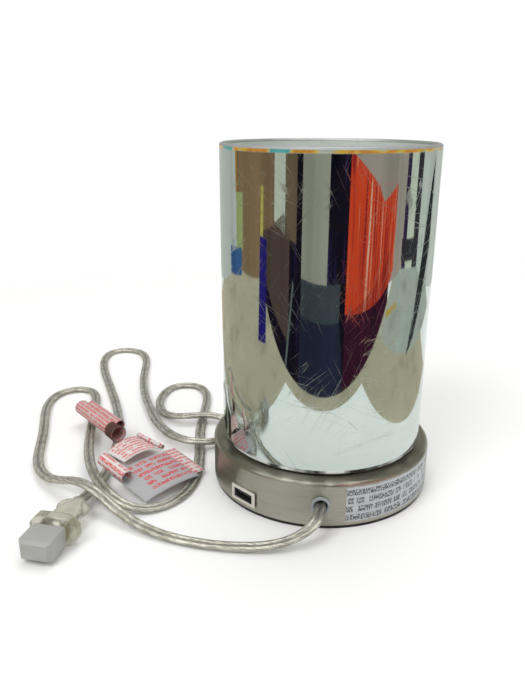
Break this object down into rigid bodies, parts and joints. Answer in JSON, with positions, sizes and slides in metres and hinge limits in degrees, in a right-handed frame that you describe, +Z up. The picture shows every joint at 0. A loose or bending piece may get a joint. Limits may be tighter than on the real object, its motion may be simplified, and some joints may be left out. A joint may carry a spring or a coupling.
{
  "type": "table lamp",
  "caption": "Touch table lamp: a mirrored glass cylinder, open at the top, clamped on a low round metal base with a charging port, and a clear flat cord with a plug.",
  "frame": {"origin": "centre of the foot pad's underside, on the table", "axes": "+Z up along the shade's axis; -Y towards the cord's exit"},
  "size_m": [0.2521, 0.2946, 0.1823],
  "materials": {
    "mirror_glass": "mirrored inside, polished outside, finely scratched",
    "brushed_nickel": "brushed nickel, satin",
    "black_rubber": "fine foam, matte",
    "zinc_steel": "zinc plated",
    "cast_weight": "as cast",
    "brass": "bright rolled brass",
    "ivory_plastic": "moulded phenolic",
    "white_plastic": "moulded, smooth",
    "grey_fibre": "fibre sheet",
    "grey_plastic": "moulded, smooth",
    "black_plastic": "moulded",
    "cap_metal": "drawn sheet",
    "green_board": "solder mask",
    "foam_tape": "foam",
    "yellow_tape": "winding tape",
    "blue_sleeve": "shrunk sleeve",
    "white_lead": "insulated wire",
    "black_lead": "insulated wire",
    "red_lead": "insulated wire",
    "clear_pvc": "clear, soft",
    "cap_plastic": "translucent",
    "tag_paper": "coated paper"
  },
  "bodies": {
    "lamp": {"glass_shade": "mirror_glass", "shade_gasket": "black_rubber", "socket_shell": "ivory_plastic", "screw_shell": "brass", "socket_contact": "brass", "threaded_nipple": "brass", "lock_washer": "zinc_steel", "touch_terminal": "brass", "lock_nut": "brass", "base_cover": "brushed_nickel", "base_plate": "zinc_steel", "base_screws": "zinc_steel", "base_weight": "cast_weight", "foot_pad": "black_rubber", "cord_grommet": "grey_plastic", "cord_clamp": "white_plastic", "touch_dimmer": "black_plastic", "supply_leads": "white_lead", "socket_leads": "white_lead", "touch_lead": "black_lead", "usb_bezel": "white_plastic", "usb_shell": "zinc_steel", "usb_tongue": "white_plastic", "usb_contacts": "brass", "usb_board": "green_board", "board_tape": "foam_tape", "usb_transformer": "yellow_tape", "usb_capacitor": "blue_sleeve", "usb_leads": "red_lead", "cord": "clear_pvc", "plug_body": "clear_pvc", "plug_blades": "brass", "tag_roll": "tag_paper", "tag_fan": "tag_paper", "tag_flag": "tag_paper"},
    "bulb_lift": {"bulb_tip": "cap_metal"},
    "bulb": {"bulb_insulator": "black_plastic", "bulb_cap": "cap_metal", "bulb_collar": "white_plastic", "bulb_led_board": "cap_metal", "bulb_globe": "white_plastic"},
    "ring_lift": {"ring_washer": "grey_fibre"},
    "ring": {"shade_ring": "ivory_plastic"},
    "blade_cap": {"plug_cap": "cap_plastic"}
  },
  "joints": [
    {"name": "bulb_rise", "type": "slide", "parent": "lamp", "child": "bulb_lift", "axis": [0, 0, 1], "range_m": [0, 0.0109]},
    {"name": "bulb_turn", "type": "hinge", "parent": "bulb_lift", "child": "bulb", "pos_m": [0, 0, 0.05], "axis": [0, 0, 1], "range_deg": [0, 1080]},
    {"name": "ring_rise", "type": "slide", "parent": "lamp", "child": "ring_lift", "axis": [0, 0, 1], "range_m": [0, 0.0076]},
    {"name": "ring_turn", "type": "hinge", "parent": "ring_lift", "child": "ring", "pos_m": [0, 0, 0.036], "axis": [0, 0, 1], "range_deg": [0, 1080]},
    {"name": "cap_pull", "type": "slide", "parent": "lamp", "child": "blade_cap", "axis": [-0.1564, -0.9877, 0], "range_m": [0, 0.02]}
  ],
  "couplings": [
    {"joint": "bulb_rise", "follows": "bulb_turn", "m_per_rad": 0.00057757},
    {"joint": "ring_rise", "follows": "ring_turn", "m_per_rad": 0.00039789}
  ]
}
